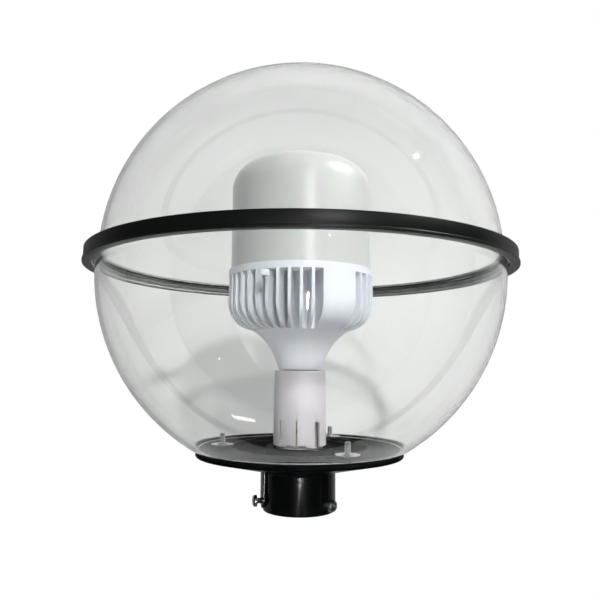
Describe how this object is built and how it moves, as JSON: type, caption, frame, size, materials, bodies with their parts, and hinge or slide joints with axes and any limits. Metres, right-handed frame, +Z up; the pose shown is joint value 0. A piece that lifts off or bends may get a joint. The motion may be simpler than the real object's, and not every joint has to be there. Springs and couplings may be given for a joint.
{
  "type": "street light head",
  "caption": "Clear globe street light head with a black ring and base, a post sleeve, a lampholder and a finned lamp with a milky diffuser.",
  "frame": {"origin": "centre of the post sleeve's open mouth", "axes": "+Z up along the post, -Y towards the picture's camera, +X to its right"},
  "size_m": [0.3216, 0.3216, 0.3309],
  "materials": {
    "base_plastic": "gloss black moulded plastic",
    "ring_plastic": "semi-matt black moulded plastic",
    "clear_acrylic": "clear polished acrylic",
    "base_seal": "black rubber sheet",
    "black_seal": "black foam rubber",
    "zinc_steel": "bright zinc plate",
    "holder_plastic": "off-white heat resisting plastic",
    "porcelain": "glazed porcelain",
    "brass": "plain brass",
    "nickel_brass": "nickel plated brass",
    "tin": "solder",
    "black_glass": "black glass",
    "housing_plastic": "white satin plastic",
    "aluminium": "bare aluminium",
    "led_phosphor": "yellow phosphor resin",
    "circuit_board": "green circuit board",
    "capacitor_sleeve": "dark blue shrink sleeve",
    "transformer_tape": "yellow tape",
    "wire_sleeve": "white silicone insulation",
    "milky_plastic": "milky translucent plastic"
  },
  "bodies": {
    "base": {"base_plate": "base_plastic", "base_gasket": "base_seal", "lower_dome": "clear_acrylic", "dome_studs": "zinc_steel", "stud_discs": "zinc_steel", "ring_lower": "ring_plastic", "equator_gasket": "black_seal", "lampholder_shell": "holder_plastic", "lampholder_carrier": "holder_plastic", "lampholder_fixing_screws": "zinc_steel", "lampholder_terminals": "brass", "terminal_screws": "zinc_steel", "lampholder_insert": "porcelain", "lampholder_thread_shell": "nickel_brass", "lampholder_contact": "brass"},
    "top_cover": {"ring_upper": "ring_plastic", "upper_dome": "clear_acrylic"},
    "clamp_screw_1": {"clamp_screw_1": "zinc_steel"},
    "clamp_screw_2": {"clamp_screw_2": "zinc_steel"},
    "clamp_screw_3": {"clamp_screw_3": "zinc_steel"},
    "bulb_tip": {"bulb_tip_contact": "tin"},
    "bulb": {"bulb_cap_insulator": "black_glass", "bulb_cap_shell": "nickel_brass", "bulb_housing": "housing_plastic", "bulb_core": "aluminium", "led_board": "aluminium", "led_chips": "led_phosphor", "board_screws": "zinc_steel", "driver_board": "circuit_board", "driver_capacitors": "capacitor_sleeve", "driver_transformer": "transformer_tape", "bulb_wires": "wire_sleeve", "bulb_diffuser": "milky_plastic"}
  },
  "joints": [
    {"name": "cover_lift", "type": "slide", "parent": "base", "child": "top_cover", "axis": [0, 0, 1], "range_m": [0, 0.15]},
    {"name": "bulb_lift", "type": "slide", "parent": "base", "child": "bulb_tip", "axis": [0, 0, 1], "range_m": [0, 0.0112]},
    {"name": "bulb_turn", "type": "hinge", "parent": "bulb_tip", "child": "bulb", "pos_m": [0, 0, 0.1], "axis": [0, 0, 1], "range_deg": [0, 1080]},
    {"name": "clamp_screw_1_travel", "type": "slide", "parent": "base", "child": "clamp_screw_1", "axis": [-0.7071, 0.7071, 0], "range_m": [-0.003, 0.0038]},
    {"name": "clamp_screw_2_travel", "type": "slide", "parent": "base", "child": "clamp_screw_2", "axis": [-0.2588, -0.9659, 0], "range_m": [-0.003, 0.0038]},
    {"name": "clamp_screw_3_travel", "type": "slide", "parent": "base", "child": "clamp_screw_3", "axis": [0.9659, 0.2588, 0], "range_m": [-0.003, 0.0038]}
  ],
  "couplings": [
    {"joint": "bulb_lift", "follows": "bulb_turn", "m_per_rad": 0.00057757}
  ]
}
